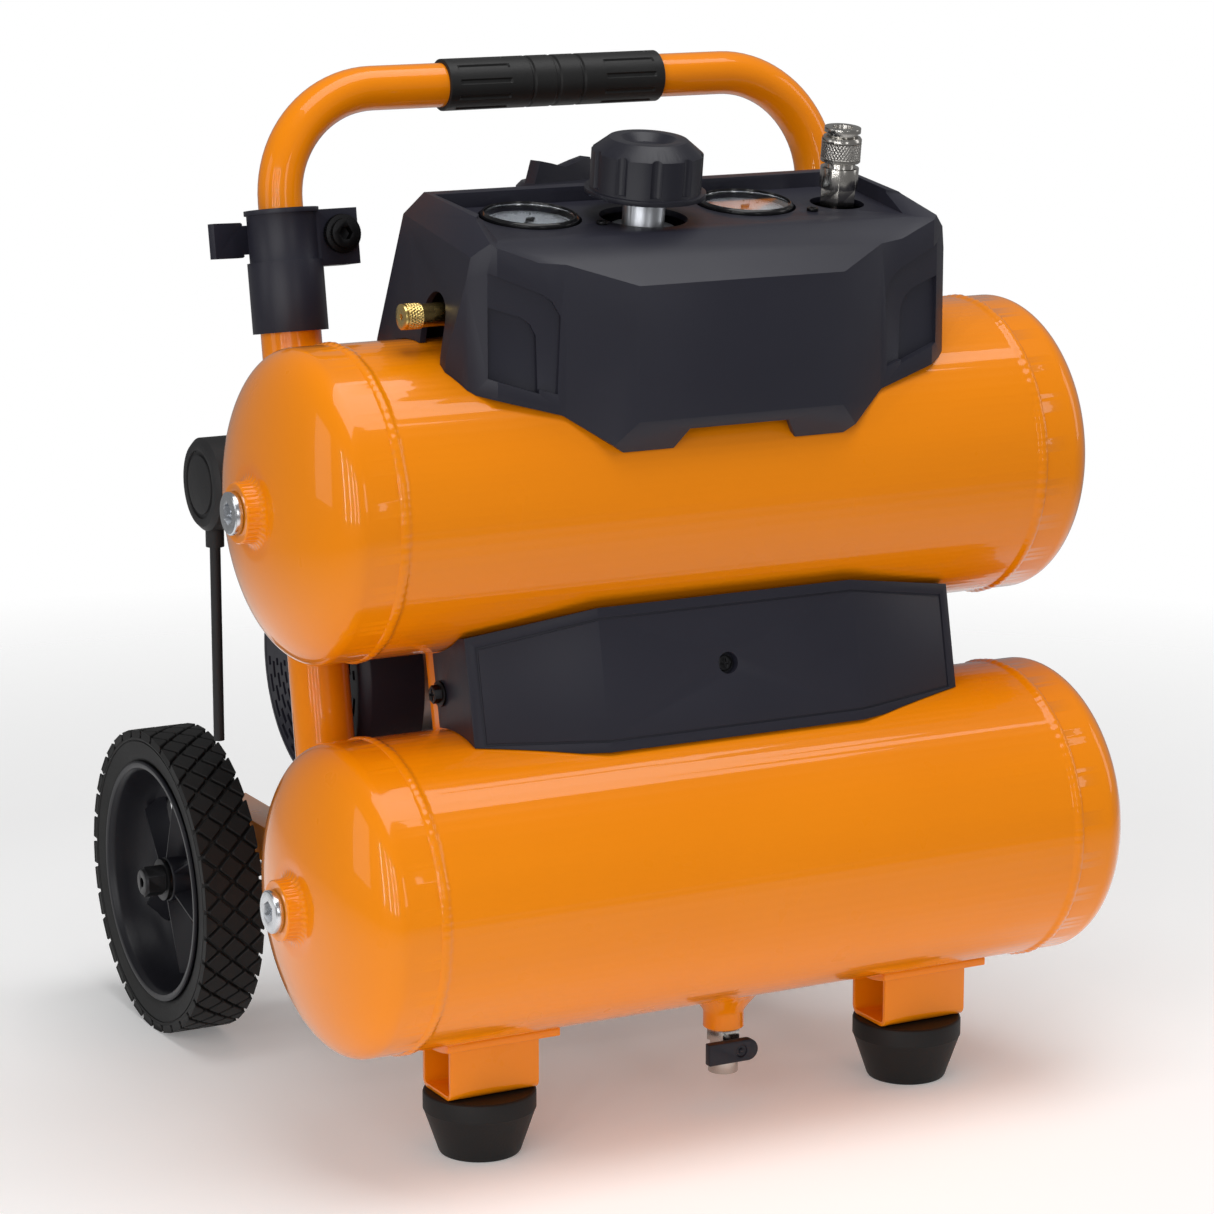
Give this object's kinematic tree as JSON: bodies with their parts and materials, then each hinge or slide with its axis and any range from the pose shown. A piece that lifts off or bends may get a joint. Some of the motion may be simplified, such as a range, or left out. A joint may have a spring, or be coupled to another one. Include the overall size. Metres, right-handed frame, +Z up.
{
  "type": "twin stack compressor",
  "caption": "Wheeled air compressor with stacked horizontal tanks, a rear piston pump, a control console, rubber feet and a lift-up handle.",
  "frame": {"origin": "centre of the bounding box on the floor plane, with the handle down", "axes": "+Z up, +X along the tanks, -Y towards the front with the console, +Y towards the wheels"},
  "size_m": [0.584, 0.515, 0.6497],
  "materials": {
    "orange_paint": "gloss enamel over welded steel",
    "plug_steel": "zinc plated",
    "foot_rubber": "moulded rubber",
    "deck_steel": "black powder coat",
    "axle_steel": "turned steel",
    "black_nut": "black oxide",
    "tyre_rubber": "moulded tread rubber",
    "rim_plastic": "moulded rim",
    "console_plastic": "satin moulded plastic",
    "gauge_black": "gloss black bezel",
    "dial_white": "plain white dial",
    "gauge_lens": "clear lens",
    "needle_black": "black pointer",
    "cast_alloy": "die-cast",
    "zinc_body": "die-cast zinc",
    "knob_plastic": "fine-textured plastic",
    "nickel": "nickel plated",
    "brass": "turned brass",
    "motor_paint": "black paint on ribbed alloy",
    "filter_plastic": "matte moulded plastic",
    "grip_rubber": "ribbed sleeve"
  },
  "bodies": {
    "frame": {"lower_tank": "orange_paint", "upper_tank": "orange_paint", "tank_plugs": "plug_steel", "tank_ties": "orange_paint", "link_pipe": "orange_paint", "foot_brackets": "orange_paint", "left_foot": "foot_rubber", "right_foot": "foot_rubber", "left_upright": "orange_paint", "right_upright": "orange_paint", "left_rail": "orange_paint", "right_rail": "orange_paint", "pump_deck": "deck_steel", "axle": "axle_steel", "axle_nuts": "black_nut", "console_shell": "console_plastic", "panel_screws": "black_nut", "gauge_cups": "gauge_black", "gauge_dials": "dial_white", "gauge_lenses": "gauge_lens", "manifold": "cast_alloy", "regulator_body": "zinc_body", "coupler_body": "nickel", "relief_valve": "brass", "pressure_switch": "knob_plastic", "mid_cover": "console_plastic", "cover_screws": "black_nut", "terminal_box": "console_plastic", "cable_gland": "knob_plastic", "drain_valve": "nickel", "motor_housing": "motor_paint", "crankcases": "cast_alloy", "cylinders": "cast_alloy", "heads": "cast_alloy", "fan_covers": "console_plastic", "silencers": "filter_plastic", "delivery_pipe": "cast_alloy", "check_valve": "brass", "pump_mounts": "foot_rubber", "pump_cradle": "deck_steel", "clamps": "console_plastic", "clamp_nuts": "black_nut"},
    "left_wheel": {"left_tyre": "tyre_rubber", "left_rim": "rim_plastic"},
    "right_wheel": {"right_tyre": "tyre_rubber", "right_rim": "rim_plastic"},
    "carry_handle": {"handle": "orange_paint", "grip": "grip_rubber"},
    "left_cam": {"left_lever": "console_plastic"},
    "right_cam": {"right_lever": "console_plastic"},
    "pressure_knob": {"regulator_knob": "knob_plastic"},
    "power_knob": {"switch_knob": "knob_plastic"},
    "tank_pointer": {"left_needle": "needle_black"},
    "outlet_pointer": {"right_needle": "needle_black"},
    "quick_sleeve": {"coupler_sleeve": "nickel"},
    "drain_tap": {"drain_lever": "knob_plastic"},
    "motor_shaft": {"rotor": "axle_steel", "fans": "knob_plastic"},
    "piston_l": {"left_piston": "cast_alloy"},
    "piston_r": {"right_piston": "cast_alloy"}
  },
  "joints": [
    {"name": "left_wheel_spin", "type": "hinge", "parent": "frame", "child": "left_wheel", "pos_m": [-0.2245, 0.15475, 0.102], "axis": [1, 0, 0], "continuous": true},
    {"name": "right_wheel_spin", "type": "hinge", "parent": "frame", "child": "right_wheel", "pos_m": [0.2245, 0.15475, 0.102], "axis": [1, 0, 0], "continuous": true},
    {"name": "handle_slide", "type": "slide", "parent": "frame", "child": "carry_handle", "axis": [0, 0.165, 0.9863], "range_m": [0, 0.25]},
    {"name": "left_cam_turn", "type": "hinge", "parent": "frame", "child": "left_cam", "pos_m": [-0.1605, 0.05058, 0.54031], "axis": [0, 0.165, 0.9863], "range_deg": [-110, 0]},
    {"name": "right_cam_turn", "type": "hinge", "parent": "frame", "child": "right_cam", "pos_m": [0.1605, 0.05058, 0.54031], "axis": [0, 0.165, 0.9863], "range_deg": [0, 110]},
    {"name": "pressure_knob_turn", "type": "hinge", "parent": "frame", "child": "pressure_knob", "pos_m": [-0.0255, -0.13569, 0.58492], "axis": [0, -0.1305, 0.9914], "range_deg": [-180, 180]},
    {"name": "power_knob_turn", "type": "hinge", "parent": "frame", "child": "power_knob", "pos_m": [-0.03, -0.03175, 0.575], "axis": [0, 0, 1], "range_deg": [0, 90]},
    {"name": "tank_pointer_turn", "type": "hinge", "parent": "frame", "child": "tank_pointer", "pos_m": [-0.095, -0.11821, 0.56705], "axis": [0, -0.1305, 0.9914], "range_deg": [-270, 0]},
    {"name": "outlet_pointer_turn", "type": "hinge", "parent": "frame", "child": "outlet_pointer", "pos_m": [0.054, -0.11821, 0.56705], "axis": [0, -0.1305, 0.9914], "range_deg": [-270, 0]},
    {"name": "quick_sleeve_pull", "type": "slide", "parent": "frame", "child": "quick_sleeve", "axis": [0, -0.1305, 0.9914], "range_m": [-0.003, 0], "stiffness_N_per_m": 1500, "springref_m": 0.003},
    {"name": "drain_tap_turn", "type": "hinge", "parent": "frame", "child": "drain_tap", "pos_m": [0.0175, -0.17605, 0.042], "axis": [0, 1, 0], "range_deg": [-90, 0]},
    {"name": "shaft_spin", "type": "hinge", "parent": "frame", "child": "motor_shaft", "pos_m": [0, 0.05025, 0.262], "axis": [1, 0, 0], "continuous": true},
    {"name": "piston_l_slide", "type": "slide", "parent": "frame", "child": "piston_l", "axis": [0, 0, 1], "range_m": [0, 0.018]},
    {"name": "piston_r_slide", "type": "slide", "parent": "frame", "child": "piston_r", "axis": [0, 0, 1], "range_m": [0, 0.018]}
  ]
}
